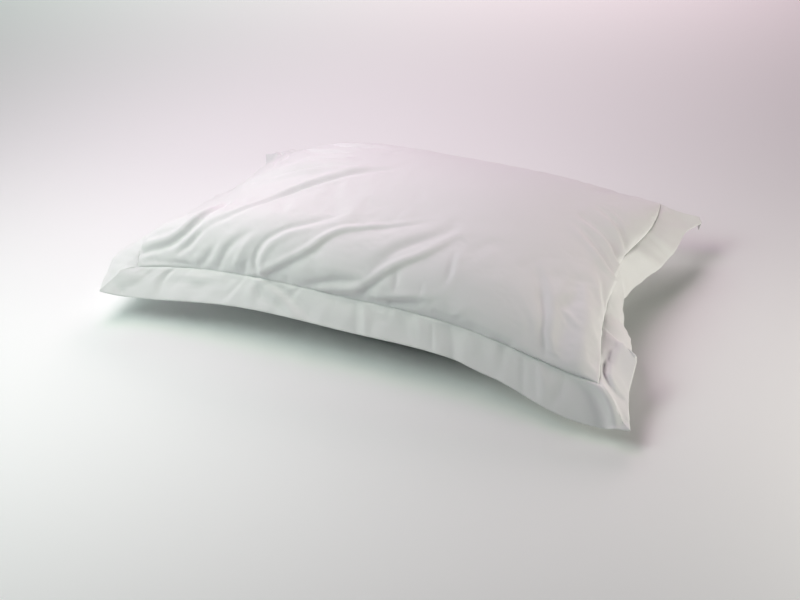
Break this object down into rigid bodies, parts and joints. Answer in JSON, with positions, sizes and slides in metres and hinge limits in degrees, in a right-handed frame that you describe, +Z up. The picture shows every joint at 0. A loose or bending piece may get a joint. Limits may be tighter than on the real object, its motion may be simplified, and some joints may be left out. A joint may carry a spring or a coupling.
{
  "type": "pillowcase",
  "caption": "White cotton pillowcase with a flat stitched border all round, stuffed full and lying on its back.",
  "frame": {"origin": "middle of the whole outline, on the surface it lies on", "axes": "+X along the long side to the right, +Y to the back, +Z up out of the upper face"},
  "size_m": [0.8494, 0.5764, 0.1866],
  "materials": {
    "field_cotton": "fine plain weave, soft white",
    "border_cotton": "fine plain weave, soft white, two layers"
  },
  "bodies": {
    "root": {"stuffed_field": "field_cotton", "border": "border_cotton"}
  },
  "joints": []
}
